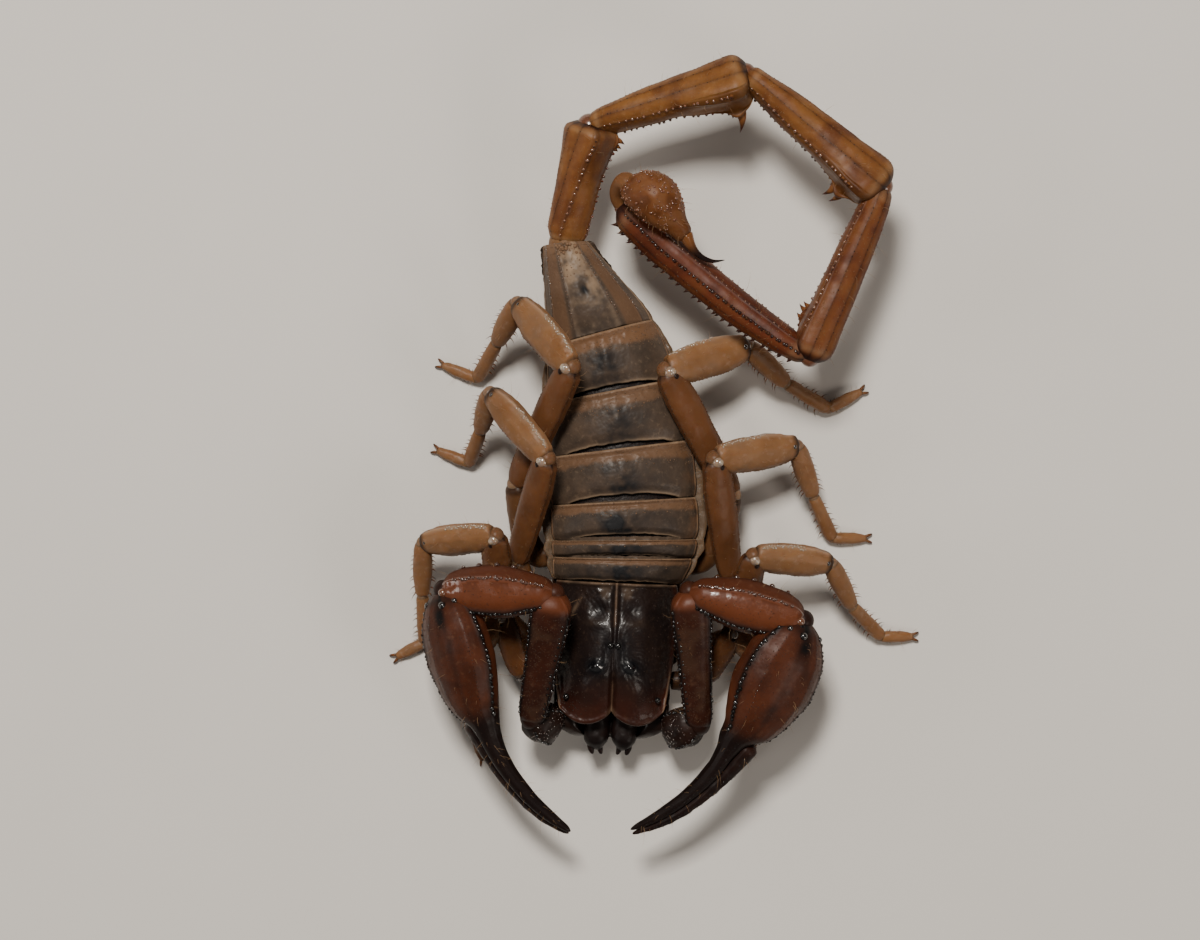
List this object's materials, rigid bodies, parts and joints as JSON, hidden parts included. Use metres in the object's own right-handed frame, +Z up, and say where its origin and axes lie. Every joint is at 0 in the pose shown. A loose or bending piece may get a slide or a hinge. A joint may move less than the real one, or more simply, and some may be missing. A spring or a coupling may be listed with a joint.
{
  "type": "desert scorpion",
  "caption": "Life-size still model of a large desert scorpion standing on its feet, pincers held forward, tail curled round to one side with the sting folded back.",
  "frame": {"origin": "on the floor, under the middle of the model's bounding box", "axes": "+Z up; -Y is the way the head and pincers point; +X is the animal's own left, the side its tail is curled to"},
  "size_m": [0.0408, 0.06, 0.0134],
  "materials": {
    "shield": "near-black brown head shield with a satin to glossy, finely granular surface",
    "back_plate": "dark olive-brown back plates with tan margins, satin with fine granules",
    "membrane": "soft tan flank skin and belly plates, semi-matte with fine wrinkles",
    "underside": "brown hip block, breast plate and comb organs, satin",
    "tail": "amber to red-brown tail with dark granular keels, glossy",
    "sting": "dark red-brown sting point, glossy",
    "arm": "dark red-brown pincer arms and jaws with black beaded keels, very glossy",
    "leg": "tan to brown legs, satin, with pale joint knobs and black joint spots",
    "eye": "black domed eyes, mirror-smooth"
  },
  "bodies": {
    "root": {"belly": "membrane", "carapace": "shield", "chelicera_l": "arm", "chelicera_r": "arm", "coxosternum": "underside", "eye_lateral_l": "eye", "eye_lateral_r": "eye", "eye_median_l": "eye", "eye_median_r": "eye", "leg1_l_femur": "leg", "leg1_l_foot": "leg", "leg1_l_patella": "leg", "leg1_r_femur": "leg", "leg1_r_foot": "leg", "leg1_r_patella": "leg", "leg2_l_femur": "leg", "leg2_l_foot": "leg", "leg2_l_patella": "leg", "leg2_r_femur": "leg", "leg2_r_foot": "leg", "leg2_r_patella": "leg", "leg3_l_femur": "leg", "leg3_l_foot": "leg", "leg3_l_patella": "leg", "leg3_r_femur": "leg", "leg3_r_foot": "leg", "leg3_r_patella": "leg", "leg4_l_femur": "leg", "leg4_l_foot": "leg", "leg4_l_patella": "leg", "leg4_r_femur": "leg", "leg4_r_foot": "leg", "leg4_r_patella": "leg", "metasoma_1": "tail", "metasoma_2": "tail", "metasoma_3": "tail", "metasoma_4": "tail", "metasoma_5": "tail", "pecten_l": "underside", "pecten_r": "underside", "pedipalp_l_femur": "arm", "pedipalp_l_finger": "arm", "pedipalp_l_hand": "arm", "pedipalp_l_patella": "arm", "pedipalp_l_trochanter": "arm", "pedipalp_r_femur": "arm", "pedipalp_r_finger": "arm", "pedipalp_r_hand": "arm", "pedipalp_r_patella": "arm", "pedipalp_r_trochanter": "arm", "sting": "sting", "telson": "tail", "tergite_1": "back_plate", "tergite_2": "back_plate", "tergite_3": "back_plate", "tergite_4": "back_plate", "tergite_5": "back_plate", "tergite_6": "back_plate", "tergite_7": "back_plate"}
  },
  "joints": []
}
